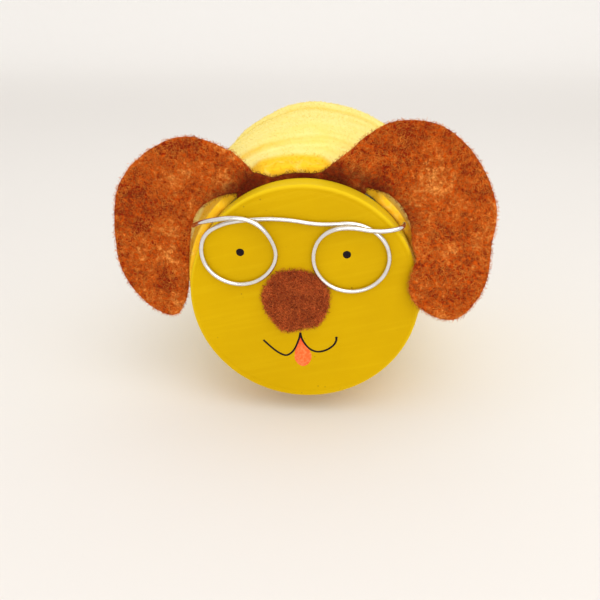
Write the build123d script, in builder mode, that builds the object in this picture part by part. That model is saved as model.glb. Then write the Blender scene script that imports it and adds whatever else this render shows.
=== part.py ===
from build123d import *
from math import cos, pi, radians, sqrt, tan
import os

# A toy dog made from a lidded jar that lies on its side, wrapped in fleece.
# Frame: X across the face, Y along the jar with the face towards -Y, Z up.
# The origin is on the table, under the middle of the jar. Millimetres.

# Lid, which is the face
lid_diameter = 76.0
lid_depth = 9.0
lid_wall = 1.8
lid_top = 1.2
lid_edge_round = 1.8
lid_clearance = 0.3          # lid to jar neck, all round and at the mouth

# Jar
shoulder_step = 6.1          # how much wider the body is than the neck, each side
jar_length = 96.0
jar_wall = 1.2
neck_reach = 3.2             # bare neck behind the lid
shoulder_length = 18.0
shoulder_round = 6.0
base_round = 4.0

# Fleece
fleece_thickness = 6.2       # over the jar where it is fullest, near the back
fleece_lift = 1.5            # the fleece bunches up above the jar
fleece_fit = 0.2             # fleece to jar
fleece_collar = 2.2          # thickness at the cut front edge
fleece_end_thickness = 3.3
rest_flat = 24.0             # width of the flattened underside at its widest

# Felt ears, and the strip on the lid's rear edge that carries them
felt = 1.5
glue_line = 0.1
felt_gap = 0.8               # felt to fleece
strip_top = 1.2              # how far the strip stands above the lid
strip_fit = 0.4              # strip to jar neck
flex_gap = 1.0               # bare bend line between strip and ear
ear_gap = 0.4                # ear to lid

# Nose pad
nose_width = 21.6
nose_height = 20.6
nose_thickness = 3.2
nose_round = 2.0
nose_across = -2.9
nose_up = -1.4

# Wire spectacles, bent from one length of craft wire
wire = 1.5
wire_clearance = 0.3         # wire to lid, and strand to strand
lens_width = 24.0
lens_height = 22.4
left_lens_across = -20.8
left_lens_up = 16.2
right_lens_across = 15.2
right_lens_up = 14.6
temple_back = 5.0            # depth of the left temple's tip beside the lid

lid_radius = lid_diameter / 2
neck_radius = lid_radius - lid_wall - lid_clearance
jar_radius = neck_radius + shoulder_step
fleece_radius = jar_radius + fleece_thickness

# Heights: the flattened underside sets how high the jar's axis is
fleece_centre = sqrt(fleece_radius**2 - (rest_flat / 2) ** 2)
jar_centre = fleece_centre - fleece_lift

# Depths behind the lid's front face
mouth_depth = lid_top + lid_clearance
felt_front = lid_depth + glue_line
felt_middle = felt_front + felt / 2
neck_end = lid_depth + neck_reach
shoulder_end = neck_end + shoulder_length
jar_base = mouth_depth + jar_length
fleece_front = felt_front + felt + felt_gap
fleece_end = jar_base + fleece_fit + fleece_end_thickness
face_y = -(mouth_depth + jar_base) / 2


def face_plane(depth):
    """Upright plane at a depth behind the face, measured from the jar's axis."""
    return Plane(origin=(0, face_y + depth, jar_centre), x_dir=(1, 0, 0), z_dir=(0, -1, 0))


def profile_plane(centre):
    """Flat plane through an axis at a height: x is a radius, y is a depth."""
    return Plane(origin=(0, face_y, centre), x_dir=(1, 0, 0), z_dir=(0, 0, 1))


jar_profile = profile_plane(jar_centre)
fleece_profile = profile_plane(fleece_centre)
jar_axis = Axis((0, 0, jar_centre), (0, 1, 0))
fleece_axis = Axis((0, 0, fleece_centre), (0, 1, 0))


# Lid: a shallow cap with a rounded front edge
with BuildPart() as lid:
    with BuildSketch(face_plane(lid_depth)):
        Circle(lid_radius)
    extrude(amount=lid_depth)
    fillet(lid.edges().group_by(Axis.Y)[0], radius=lid_edge_round)
    with BuildSketch(face_plane(lid_depth)):
        Circle(lid_radius - lid_wall)
    extrude(amount=lid_depth - lid_top, mode=Mode.SUBTRACT)
lid.part.label = "lid"


# Jar: neck, shoulder and body, open at the mouth
def jar_outline(gap, base):
    """Corners of the jar's side at a gap outside it, from the neck to a base depth."""
    return [
        (neck_radius + gap, mouth_depth),
        (neck_radius + gap, neck_end),
        (jar_radius + gap, shoulder_end),
        (jar_radius + gap, base),
    ]


with BuildPart() as jar:
    with BuildSketch(jar_profile):
        with BuildLine():
            side = jar_outline(0, jar_base)
            wall = FilletPolyline(*side, (0, jar_base), radius=[shoulder_round, shoulder_round, base_round])
            Polyline(wall @ 1, (0, mouth_depth), wall @ 0)
        make_face()
    revolve(axis=jar_axis)
    offset(amount=-jar_wall, openings=jar.faces().sort_by(Axis.Y)[0])
jar.part.label = "jar"

# Fleece wrap: a soft tube with a rolled front, full at the back, flat underneath
ridge = fleece_front + 4.0
soft_groove = fleece_front + 14.0
full_depth = shoulder_end + 16.0
rear_groove = jar_base - 18.0
fullest = jar_base - 5.0
rear_rim = fleece_radius - 3.6
with BuildPart() as fleece_wrap:
    with BuildSketch(fleece_profile):
        with BuildLine():
            outside = Spline(
                (neck_radius + fleece_collar, fleece_front),
                (fleece_radius - 6.6, ridge),
                (fleece_radius - 4.3, soft_groove),
                (fleece_radius - 0.6, full_depth),
                (fleece_radius - 0.9, rear_groove),
                (fleece_radius, fullest),
                tangents=[(1, 1), (0, 1)],
            )
            shoulder = TangentArc(outside @ 1, (rear_rim, fleece_end), tangent=outside % 1)
            Polyline(shoulder @ 1, (0, fleece_end), (0, fleece_front), outside @ 0)
        make_face()
    revolve(axis=fleece_axis)
    with BuildSketch(jar_profile):
        with BuildLine():
            bore = FilletPolyline(*jar_outline(fleece_fit, fleece_end), radius=shoulder_round)
            Polyline(bore @ 1, (0, fleece_end), (0, mouth_depth), bore @ 0)
        make_face()
    revolve(axis=jar_axis, mode=Mode.SUBTRACT)
    split(bisect_by=Plane.XY, keep=Keep.TOP)
fleece_wrap.part.label = "fleece_wrap"

# Fleece end: the round piece that closes the back, inside the wrap
with BuildPart() as fleece_back:
    with BuildSketch(face_plane(fleece_end)):
        Circle(jar_radius)
    extrude(amount=fleece_end_thickness)
fleece_back.part.label = "fleece_back"


def at_rim(angle, beyond):
    """Point in a face plane at an angle round the lid and a distance beyond its rim."""
    return Vector(lid_radius + beyond, 0).rotate(Axis.Z, angle)


def beside(line, distance):
    """The two ends of a bend line moved to its left, where its ear is."""
    along = (line[1] - line[0]).normalized()
    left = Vector(-along.Y, along.X)
    return [point + left * distance for point in line]


# Each ear bends along a line above the lid's rim and lies to the left of that line
left_bend = [at_rim(125.5, 1.3), at_rim(112.8, 4.8)]
right_bend = [at_rim(81.5, 2.6), at_rim(60.3, 1.6)]
left_root = beside(left_bend, flex_gap / 2)
right_root = beside(right_bend, flex_gap / 2)

# Strip: the band of felt along the lid's top edge that joins the two ears
strip_inner = neck_radius + strip_fit - lid_radius
left_end = beside(left_bend, -flex_gap / 2)
right_end = beside(right_bend, -flex_gap / 2)
with BuildPart() as ear_strip:
    with BuildSketch(face_plane(felt_front + felt)):
        with BuildLine():
            top = ThreePointArc(at_rim(106, strip_top), at_rim(96, strip_top), at_rim(86, strip_top))
            Polyline(top @ 0, left_end[1], left_end[0], at_rim(125.5, strip_inner))
            Polyline(top @ 1, right_end[0], right_end[1], at_rim(60.3, strip_inner))
            ThreePointArc(at_rim(125.5, strip_inner), at_rim(93, strip_inner), at_rim(60.3, strip_inner))
        make_face()
    extrude(amount=felt)
ear_strip.part.label = "ear_strip"

# Left ear: flat felt that hangs behind the level of the face
with BuildPart() as ear_left:
    with BuildSketch(face_plane(felt_front + felt)):
        with BuildLine():
            edge = Spline(
                left_root[0],
                at_rim(134.5, 4.6),
                at_rim(146, 6.3),
                at_rim(163, 3.3),
                at_rim(185, 3.4),
                at_rim(194.5, 9.8),
                at_rim(189, 17.7),
                at_rim(179, 24.6),
                at_rim(168, 28.2),
                at_rim(152, 32.4),
                at_rim(139, 30.4),
                at_rim(127, 25.0),
                at_rim(117.5, 14.1),
                left_root[1],
            )
            Line(edge @ 1, edge @ 0)
        make_face()
    extrude(amount=felt)
ear_left.part.label = "ear_left"

# Right ear: felt that leans forwards over the rim and hangs just in front of the face
along = (right_bend[1] - right_bend[0]).normalized()
lean_plane = Plane(
    origin=(right_bend[0].X, face_y, jar_centre + right_bend[0].Y),
    x_dir=(along.Y, 0, -along.X),
    z_dir=(along.X, 0, along.Y),
)
# Its profile is a drop below the bend line, as a share of the lid's radius, and a depth
hang_depth = -(ear_gap + felt / 2)
lean = [
    (-1.05, felt_middle + 1.6),
    (-0.08, felt_middle),
    (0.085, 0.6 * felt_middle),
    (0.24, hang_depth + 1.2),
    (0.34, hang_depth - 0.7),
    (0.58, hang_depth - 1.8),
    (0.95, hang_depth - 2.8),
]
with BuildPart() as ear_right:
    with BuildSketch(lean_plane):
        with BuildLine():
            front = Spline([(drop * lid_radius, depth - felt / 2) for drop, depth in lean])
            back = Spline([(drop * lid_radius, depth + felt / 2) for drop, depth in lean])
            Line(front @ 0, back @ 0)
            Line(front @ 1, back @ 1)
        make_face()
    extrude(amount=lid_diameter, both=True)
    with BuildSketch(face_plane(lid_diameter)):
        with BuildLine():
            edge = Spline(
                right_root[1],
                at_rim(49.8, 4.4),
                at_rim(38, 4.0),
                at_rim(29, 1.3),
                at_rim(23.5, 0.6),
                at_rim(17, -2.2),
                at_rim(9, -3.8),
                at_rim(0, -1.4),
                at_rim(-5.6, 6.5),
                at_rim(-3.8, 13.1),
                at_rim(5.7, 19.6),
                at_rim(19.9, 27.2),
                at_rim(30, 30.6),
                at_rim(43, 31.5),
                at_rim(54.2, 29.8),
                at_rim(65.5, 22.1),
                at_rim(75, 8.7),
                right_root[0],
            )
            Line(edge @ 1, edge @ 0)
        make_face()
    extrude(amount=2 * lid_diameter, mode=Mode.INTERSECT)
ear_right.part.label = "ear_right"

# Nose: a domed felt pad glued to the face
with BuildPart() as nose:
    with BuildSketch(face_plane(0)):
        with Locations((nose_across, nose_up)):
            Ellipse(nose_width / 2, nose_height / 2)
    extrude(amount=nose_thickness)
    fillet(nose.edges().group_by(Axis.Y)[0], radius=nose_round)
nose.part.label = "nose"

# Spectacles: one wire from the left temple round both lenses to the right temple.
# Where two strands cross above a lens, the temple's strand is the outer one.
near = -(wire_clearance + wire / 2)
far = near - wire - wire_clearance
between = (near + far) / 2
lens_steps = 12
corner_reach = 1 / cos(pi / lens_steps)


def lens_side(across, up, first, last):
    """Corners of the wire round a lens, clockwise between two angles."""
    corners = []
    for angle in range(first, last - 1, -360 // lens_steps):
        turn = Vector(corner_reach, 0).rotate(Axis.Z, angle)
        corners.append((across + turn.X * lens_width / 2, up + turn.Y * lens_height / 2, near))
    return corners


def temple(angle, beyond, depth):
    """Corner of the wire where it passes the rim."""
    point = at_rim(angle, beyond)
    return point.X, point.Y, depth


def on_lens(across, up, right, above, depth):
    """Corner of the wire given from a lens's centre."""
    return across + right, up + above, depth


left_lens = (left_lens_across, left_lens_up)
right_lens = (right_lens_across, right_lens_up)
route = [
    temple(148, 4.8, temple_back),
    temple(142, 3.4, 0.0),
    on_lens(*left_lens, -7.0, 11.2, far),
    on_lens(*left_lens, -1.0, 11.9, far),
    on_lens(*left_lens, 5.2, 10.9, far),
    on_lens(*left_lens, 9.8, 7.0, far),
    *lens_side(*left_lens, 0, -210),
    on_lens(*left_lens, -4.6, 9.4, near),
    on_lens(*left_lens, 2.4, 10.6, near),
    on_lens(*left_lens, 9.4, 11.2, near),
    on_lens(*left_lens, 16.8, 10.9, near),
    on_lens(*right_lens, -12.2, 11.3, near),
    on_lens(*right_lens, -6.2, 11.3, near),
    on_lens(*right_lens, 0.2, 12.0, near),
    *lens_side(*right_lens, 60, -180),
    on_lens(*right_lens, -10.6, 6.6, between),
    on_lens(*right_lens, -6.0, 10.4, far),
    on_lens(*right_lens, 0.2, 11.0, far),
    on_lens(*right_lens, 6.6, 9.8, far),
    on_lens(*right_lens, 12.4, 10.2, far),
    temple(39.5, 1.9, -1.2),
    temple(38.5, 2.1, temple_back - 1.5),
]


def bend_radii(points):
    """Largest tangent arc at each corner that leaves a tenth of the shorter run straight."""
    radii = []
    for before, corner, after in zip(points, points[1:], points[2:]):
        into = Vector(corner) - Vector(before)
        out = Vector(after) - Vector(corner)
        turn = radians(into.get_angle(out))
        radii.append(0.45 * min(into.length, out.length) / tan(turn / 2))
    return radii


with BuildPart() as glasses_wire:
    with BuildLine():
        points = [(x, face_y + depth, jar_centre + up) for x, up, depth in route]
        path = FilletPolyline(*points, radius=bend_radii(points))
    with BuildSketch(Plane(origin=path @ 0, z_dir=path % 0)):
        Circle(wire / 2)
    sweep()
glasses_wire.part.label = "glasses_wire"
print("wire length", round(path.length, 1), "tightest bend", round(min(bend_radii(points)), 2))
print("wire volume", round(glasses_wire.part.volume), "of", round(pi * wire**2 / 4 * path.length))

os.makedirs("parts", exist_ok=True)
pieces = [jar, lid, fleece_wrap, fleece_back, ear_strip, ear_left, ear_right, nose, glasses_wire]
for piece in pieces:
    export_step(piece.part, f"parts/{piece.part.label}.step")
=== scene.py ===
import math

import bmesh
import bpy
import numpy as np
from mathutils import Euler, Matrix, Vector, noise
from mathutils.geometry import delaunay_2d_cdt


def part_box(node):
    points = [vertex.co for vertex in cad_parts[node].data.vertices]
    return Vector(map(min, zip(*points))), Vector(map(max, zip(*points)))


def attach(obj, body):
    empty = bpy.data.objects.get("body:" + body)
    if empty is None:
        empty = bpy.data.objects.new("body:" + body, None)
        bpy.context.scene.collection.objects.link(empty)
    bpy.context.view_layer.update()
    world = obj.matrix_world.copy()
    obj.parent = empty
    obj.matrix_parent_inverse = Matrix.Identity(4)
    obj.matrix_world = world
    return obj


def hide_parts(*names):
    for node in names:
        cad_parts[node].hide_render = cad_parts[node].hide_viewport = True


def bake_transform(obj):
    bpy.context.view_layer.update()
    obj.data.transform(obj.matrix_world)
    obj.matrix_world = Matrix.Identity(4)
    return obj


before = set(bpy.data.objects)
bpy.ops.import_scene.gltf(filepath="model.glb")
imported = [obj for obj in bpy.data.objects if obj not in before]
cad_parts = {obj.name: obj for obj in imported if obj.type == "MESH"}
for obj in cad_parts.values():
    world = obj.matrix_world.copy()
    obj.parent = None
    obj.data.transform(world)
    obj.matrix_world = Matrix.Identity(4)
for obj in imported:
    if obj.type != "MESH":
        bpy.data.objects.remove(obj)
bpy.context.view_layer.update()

mm = 0.001

# Everything is placed from the lid, which is the dog's face. Sizes below are in millimetres
lidLow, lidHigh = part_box("lid")
axisX = (lidLow.x + lidHigh.x) / 2
axisZ = (lidLow.z + lidHigh.z) / 2
faceY = lidLow.y
lidRadius = (lidHigh.x - lidLow.x) / 2 / mm
lidDepth = (lidHigh.y - lidLow.y) / mm
feltFront = (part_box("ear_left")[0].y - faceY) / mm
felt = (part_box("ear_left")[1].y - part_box("ear_left")[0].y) / mm
feltMiddle = feltFront + felt / 2
print("frame read, lid radius", round(lidRadius, 2))


# across and up from the lid's centre, depth behind the face
def facePoint(across, up, depth):
    return Vector((axisX + across * mm, faceY + depth * mm, axisZ + up * mm))


# across and up of a point at an angle round the lid and a distance beyond its rim
def atRim(angle, beyond):
    turn = math.radians(angle)
    return (lidRadius + beyond) * math.cos(turn), (lidRadius + beyond) * math.sin(turn)


def smoothStep(value, low, high):
    t = np.clip((value - low) / (high - low), 0, 1)
    return t * t * (3 - 2 * t)


# One value of smooth noise, from about -1 to 1
def wander(x, y, seed):
    return noise.noise(Vector((x, y, seed * 7.31)))


# node helpers


# A node with its settings, and its inputs set or linked
def put(tree, kind, inputs=None, **settings):
    node = tree.nodes.new(kind)
    for name, value in settings.items():
        setattr(node, name, value)
    for key, value in (inputs or {}).items():
        if isinstance(value, bpy.types.NodeSocket):
            tree.links.new(value, node.inputs[key])
        else:
            node.inputs[key].default_value = value
    return node


def arithmetic(tree, operation, a, b=0.0):
    return put(tree, "ShaderNodeMath", {0: a, 1: b}, operation=operation).outputs[0]


def times(tree, a, b):
    return arithmetic(tree, "MULTIPLY", a, b)


def plus(tree, a, b):
    return arithmetic(tree, "ADD", a, b)


def minus(tree, a, b):
    return arithmetic(tree, "SUBTRACT", a, b)


def mixColour(tree, factor, a, b):
    node = put(tree, "ShaderNodeMix", {0: factor, 6: a, 7: b}, data_type="RGBA")
    return node.outputs[2]


def ramp(tree, value, low, high):
    node = put(tree, "ShaderNodeMapRange", {0: value, 1: low, 2: high}, interpolation_type="SMOOTHSTEP")
    return node.outputs[0]


def noiseAt(tree, vector, scale, detail=2.0, roughness=0.5, distortion=0.0):
    values = {"Vector": vector, "Scale": scale, "Detail": detail, "Roughness": roughness,
              "Distortion": distortion}
    return put(tree, "ShaderNodeTexNoise", values).outputs["Fac"]


def newGroup(name, inputs, outputs):
    tree = bpy.data.node_groups.new(name, "ShaderNodeTree")
    for label, kind, value in inputs:
        socket = tree.interface.new_socket(name=label, in_out="INPUT", socket_type=kind)
        if value is not None:
            socket.default_value = value
    for label, kind in outputs:
        tree.interface.new_socket(name=label, in_out="OUTPUT", socket_type=kind)
    return tree, tree.nodes.new("NodeGroupInput").outputs, tree.nodes.new("NodeGroupOutput")


# shader groups, each used by more than one material

# Matted wool: clouds of colour, specks, and thin pale fibres lying over them
woolTree, given, out = newGroup(
    "mattedWool",
    [
        ("Vector", "NodeSocketVector", None),
        ("Dark", "NodeSocketColor", (0.1, 0.01, 0.005, 1)),
        ("Middle", "NodeSocketColor", (0.4, 0.08, 0.01, 1)),
        ("Light", "NodeSocketColor", (0.6, 0.25, 0.06, 1)),
        ("Cloud Scale", "NodeSocketFloat", 110.0),
        ("Speck Scale", "NodeSocketFloat", 700.0),
        ("Fibre Scale", "NodeSocketFloat", 420.0),
    ],
    [("Color", "NodeSocketColor"), ("Height", "NodeSocketFloat"), ("Roughness", "NodeSocketFloat")],
)
clouds = noiseAt(woolTree, given["Vector"], given["Cloud Scale"], 3.0, 0.6)
specks = noiseAt(woolTree, given["Vector"], given["Speck Scale"], 4.0, 0.7, 0.6)
strands = noiseAt(woolTree, given["Vector"], given["Fibre Scale"], 3.0, 0.55, 2.2)
ridge = arithmetic(woolTree, "ABSOLUTE", minus(woolTree, strands, 0.5))
fibre = ramp(woolTree, ridge, 0.035, 0.0)
tone = plus(woolTree, times(woolTree, clouds, 0.75), times(woolTree, specks, 0.9))
body = mixColour(woolTree, ramp(woolTree, tone, 0.66, 0.86), given["Dark"], given["Middle"])
lit = mixColour(woolTree, ramp(woolTree, tone, 0.86, 1.08), body, given["Light"])
strandShare = times(woolTree, fibre, ramp(woolTree, specks, 0.35, 0.7))
wool = mixColour(woolTree, times(woolTree, strandShare, 0.5), lit, given["Light"])
woolTree.links.new(wool, out.inputs["Color"])
lump = plus(woolTree, times(woolTree, specks, 0.8), times(woolTree, fibre, 0.35))
woolTree.links.new(lump, out.inputs["Height"])
woolTree.links.new(ramp(woolTree, specks, 1.6, 0.2), out.inputs["Roughness"])

# Small marks of use: specks of dirt, fine scratches and a slow change of gloss
wearTree, given, out = newGroup(
    "smallWear",
    [
        ("Vector", "NodeSocketVector", None),
        ("Speck Scale", "NodeSocketFloat", 260.0),
        ("Scratch Scale", "NodeSocketFloat", 90.0),
    ],
    [("Specks", "NodeSocketFloat"), ("Scratches", "NodeSocketFloat"), ("Gloss", "NodeSocketFloat")],
)
cells = put(wearTree, "ShaderNodeTexVoronoi", {"Vector": given["Vector"], "Scale": given["Speck Scale"]})
rare = noiseAt(wearTree, given["Vector"], times(wearTree, given["Speck Scale"], 0.16), 2.0)
dots = times(wearTree, ramp(wearTree, cells.outputs["Distance"], 0.16, 0.06),
             ramp(wearTree, rare, 0.56, 0.66))
wearTree.links.new(dots, out.inputs["Specks"])
stretch = put(wearTree, "ShaderNodeMapping",
              {"Vector": given["Vector"], "Rotation": (0.0, 0.7, 0.0), "Scale": (1.0, 1.0, 0.06)})
lines = noiseAt(wearTree, stretch.outputs[0], times(wearTree, given["Scratch Scale"], 9.0), 2.0)
where = noiseAt(wearTree, given["Vector"], given["Scratch Scale"], 2.0)
scratch = times(wearTree, ramp(wearTree, lines, 0.69, 0.74), ramp(wearTree, where, 0.5, 0.62))
wearTree.links.new(scratch, out.inputs["Scratches"])
wearTree.links.new(noiseAt(wearTree, given["Vector"], times(wearTree, given["Scratch Scale"], 0.5), 4.0,
                           0.6), out.inputs["Gloss"])


# materials

def newMaterial(name, rough, specular=0.5, metallic=0.0, sheen=0.0):
    material = bpy.data.materials.new(name)
    material.use_nodes = True
    tree = material.node_tree
    shader = tree.nodes["Principled BSDF"]
    shader.inputs["Roughness"].default_value = rough
    shader.inputs["Specular IOR Level"].default_value = specular
    shader.inputs["Metallic"].default_value = metallic
    shader.inputs["Sheen Weight"].default_value = sheen
    coordinates = tree.nodes.new("ShaderNodeTexCoord").outputs["Object"]
    return material, tree, shader, coordinates


def useGroup(tree, group, values):
    return put(tree, "ShaderNodeGroup", values, node_tree=group).outputs


def finishWith(tree, shader, colour, roughness):
    tree.links.new(colour, shader.inputs["Base Color"])
    tree.links.new(roughness, shader.inputs["Roughness"])


def bump(tree, shader, height, strength, distance):
    node = put(tree, "ShaderNodeBump", {"Height": height, "Strength": strength, "Distance": distance})
    tree.links.new(node.outputs[0], shader.inputs["Normal"])


woolColours = {
    "dark": (0.25, 0.014, 0.002, 1),
    "middle": (0.56, 0.080, 0.003, 1),
    "light": (0.95, 0.37, 0.075, 1),
    # colour of the painted shade at the ear roots
    "glued": (0.115, 0.010, 0.004, 1),
}


# Painted shade: the felt is darker close above the lid's rim, at the ear roots and the strip
def gluedShare(tree, place):
    parts = put(tree, "ShaderNodeSeparateXYZ", {0: place}).outputs
    flat = put(tree, "ShaderNodeCombineXYZ", {"X": parts["X"], "Z": parts["Z"]}).outputs[0]
    away = put(tree, "ShaderNodeVectorMath", {0: flat, 1: (axisX, 0.0, axisZ)},
               operation="DISTANCE").outputs["Value"]
    near = ramp(tree, away, (lidRadius + 10.0) * mm, (lidRadius + 2.5) * mm)
    high = ramp(tree, parts["Z"], axisZ + 21 * mm, axisZ + 31 * mm)
    patchy = ramp(tree, noiseAt(tree, place, 240.0, 2.0), 0.0, 0.55)
    return times(tree, times(tree, near, high), times(tree, patchy, 0.85))


def makeEarFelt():
    material, tree, shader, place = newMaterial("earFelt", 0.95, 0.03, sheen=0.04)
    shader.inputs["Sheen Roughness"].default_value = 0.5
    shader.inputs["Sheen Tint"].default_value = (0.9, 0.45, 0.2, 1)
    wool = useGroup(tree, woolTree, {
        "Vector": place,
        "Dark": woolColours["dark"],
        "Middle": woolColours["middle"],
        "Light": woolColours["light"],
    })
    # painted shade at the ear roots, mixed into the felt's colour
    rootShaded = mixColour(tree, gluedShare(tree, place), wool["Color"], woolColours["glued"])
    finishWith(tree, shader, rootShaded, wool["Roughness"])
    bump(tree, shader, wool["Height"], 0.9, 0.0005)
    return material


noseColours = {
    "dark": (0.16, 0.008, 0.003, 1),
    "middle": (0.50, 0.048, 0.009, 1),
    "light": (0.78, 0.15, 0.04, 1),
    "rimLight": (0.72, 0.13, 0.025, 1),
}


def makeNoseFelt(centre, reach):
    material, tree, shader, place = newMaterial("noseFelt", 0.95, 0.03, sheen=0.04)
    shader.inputs["Sheen Tint"].default_value = (0.8, 0.4, 0.2, 1)
    wool = useGroup(tree, woolTree, {
        "Vector": place,
        "Dark": noseColours["dark"],
        "Middle": noseColours["middle"],
        "Light": noseColours["light"],
        "Cloud Scale": 160.0,
        "Speck Scale": 900.0,
    })
    away = put(tree, "ShaderNodeVectorMath", {0: place, 1: centre}, operation="DISTANCE").outputs["Value"]
    rim = ramp(tree, away, reach * 0.72, reach * 1.12)
    colour = mixColour(tree, times(tree, rim, 0.6), wool["Color"], noseColours["rimLight"])
    finishWith(tree, shader, colour, wool["Roughness"])
    bump(tree, shader, wool["Height"], 0.9, 0.0005)
    return material


# Loose fibres take their shade from the value that the fibre tree stores on each of them,
# and from the clouds of colour in the cloth below
def makeFibre(name, dark, light, clouds, glued=False, shadedFront=False):
    material, tree, shader, place = newMaterial(name, 0.8, 0.03, sheen=0.03)
    shade = put(tree, "ShaderNodeAttribute", attribute_name="shade").outputs["Fac"]
    cloud = ramp(tree, noiseAt(tree, place, 210.0, 3.0, 0.6), 0.32, 0.68)
    own = times(tree, shade, 1.0 - clouds)
    mixed = plus(tree, own, times(tree, cloud, clouds))
    colour = mixColour(tree, mixed, dark, light)
    # the same painted shade at the ear roots, on the fibres
    if glued:
        colour = mixColour(tree, gluedShare(tree, place), colour, woolColours["glued"])
    if shadedFront:
        # on the fleece's front roll the nap takes the roll's painted shade, its deep yellow
        parts = put(tree, "ShaderNodeSeparateXYZ", {0: place}).outputs
        lean = times(tree, minus(tree, parts["X"], axisX), -0.052)
        edge = plus(tree, lean, faceY + 17.2 * mm)
        behind = minus(tree, parts["Y"], edge)
        colour = mixColour(tree, ramp(tree, behind, 1.5 * mm, -2.0 * mm), colour, fleeceColours["shaded"])
    finishWith(tree, shader, colour, ramp(tree, cloud, -0.6, 0.5))
    return material


fleeceColours = {
    "pale": (0.95, 0.82, 0.28, 1),
    "warm": (0.95, 0.75, 0.15, 1),
    # the deep yellow of the painted shade
    "shaded": (0.93, 0.53, 0.006, 1),
}


def makeFleece():
    material, tree, shader, place = newMaterial("paleFleece", 0.95, 0.02, sheen=0.08)
    shader.inputs["Sheen Roughness"].default_value = 0.6
    shader.inputs["Sheen Tint"].default_value = (1.0, 0.93, 0.6, 1)
    cloud = noiseAt(tree, place, 55.0, 4.0, 0.6)
    pile = noiseAt(tree, place, 900.0, 4.0, 0.75, 0.4)
    nap = noiseAt(tree, place, 260.0, 3.0, 0.6, 0.8)
    paintedShade = put(tree, "ShaderNodeAttribute", attribute_name="paintedShade").outputs["Fac"]
    tone = mixColour(tree, times(tree, ramp(tree, cloud, 0.4, 0.72), 0.55), fleeceColours["pale"],
                     fleeceColours["warm"])
    # painted shade: deep yellow on the front roll, in the grooves and underneath
    shadedTone = mixColour(tree, paintedShade, tone, fleeceColours["shaded"])
    tips = mixColour(tree, times(tree, ramp(tree, nap, 0.5, 0.75), 0.25), shadedTone, fleeceColours["pale"])
    finishWith(tree, shader, tips, ramp(tree, pile, -1.0, 0.6))
    height = plus(tree, times(tree, pile, 0.5), times(tree, nap, 0.8))
    bump(tree, shader, height, 0.35, 0.0005)
    return material


paint = {
    "colour": (0.595, 0.358, 0.0003, 1),
    # worn: paler paint, for the brush streaks and for the painted highlight on the rim
    "worn": (0.82, 0.58, 0.012, 1),
    "thin": (0.565, 0.335, 0.0003, 1),
    "dirt": (0.16, 0.08, 0.01, 1),
    "roughness": 0.42,
}


def makeLidPaint():
    material, tree, shader, place = newMaterial("lidPaint", paint["roughness"], 0.035)
    wear = useGroup(tree, wearTree, {"Vector": place, "Speck Scale": 420.0, "Scratch Scale": 60.0})
    # brush strokes run in bands across the face, a little bent
    bend = noiseAt(tree, place, 24.0, 2.0)
    centred = put(tree, "ShaderNodeMapping", {
        "Vector": place,
        "Location": (-axisX, 0.0, -axisZ),
    }).outputs[0]
    swept = put(tree, "ShaderNodeVectorMath", {0: centred, 1: (0.35, 1.0, 0.9)},
                operation="MULTIPLY").outputs[0]
    turned = put(tree, "ShaderNodeVectorRotate", {"Vector": swept, "Axis": (0.0, 1.0, 0.0), "Angle": 0.6},
                 rotation_type="AXIS_ANGLE")
    squeezed = put(tree, "ShaderNodeVectorMath", {0: turned.outputs[0], 1: (0.08, 1.0, 1.0)},
                   operation="MULTIPLY").outputs[0]
    strokes = noiseAt(tree, squeezed, 900.0, 3.0, 0.6, 0.3)
    cloud = noiseAt(tree, place, 38.0, 3.0, 0.55)
    tone = mixColour(tree, ramp(tree, cloud, 0.35, 0.7), paint["thin"], paint["colour"])
    streaked = mixColour(tree, times(tree, ramp(tree, strokes, 0.45, 0.75), 0.09), tone, paint["worn"])
    # the rounded edge is painted a little paler all round, a painted highlight on the rim
    away = put(tree, "ShaderNodeVectorMath",
               {0: put(tree, "ShaderNodeVectorMath", {0: centred, 1: (1.0, 0.0, 1.0)},
                       operation="MULTIPLY").outputs[0]}, operation="LENGTH").outputs["Value"]
    edge = times(tree, ramp(tree, away, (lidRadius - 1.3) * mm, (lidRadius - 0.1) * mm),
                 ramp(tree, bend, -0.2, 0.5))
    rimHighlighted = mixColour(tree, times(tree, edge, 0.7), streaked, paint["worn"])
    dirty = mixColour(tree, times(tree, wear["Specks"], 0.7), rimHighlighted, paint["dirt"])
    gloss = plus(tree, times(tree, wear["Gloss"], 0.25), 0.32)
    finishWith(tree, shader, dirty, plus(tree, gloss, times(tree, wear["Scratches"], 0.2)))
    relief = minus(tree, times(tree, strokes, 0.6), times(tree, wear["Scratches"], 0.5))
    bump(tree, shader, plus(tree, relief, times(tree, cloud, 1.2)), 0.25, 0.0003)
    return material


wireLook = {"bright": (0.74, 0.72, 0.69, 1), "dull": (0.42, 0.39, 0.36, 1), "roughness": 0.2}


def makeWire():
    material, tree, shader, place = newMaterial("craftWire", wireLook["roughness"], 0.5, metallic=1.0)
    wear = useGroup(tree, wearTree, {"Vector": place, "Speck Scale": 700.0, "Scratch Scale": 260.0})
    drawn = noiseAt(tree, place, 520.0, 3.0, 0.6)
    colour = mixColour(tree, times(tree, ramp(tree, drawn, 0.5, 0.8), 0.45), wireLook["bright"],
                       wireLook["dull"])
    finishWith(tree, shader, mixColour(tree, times(tree, wear["Specks"], 0.8), colour, wireLook["dull"]),
               plus(tree, times(tree, wear["Gloss"], 0.2), 0.09))
    bump(tree, shader, plus(tree, drawn, wear["Scratches"]), 0.12, 0.0002)
    return material


plastic = {"colour": (0.80, 0.81, 0.78, 1), "stain": (0.66, 0.66, 0.60, 1)}


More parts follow.
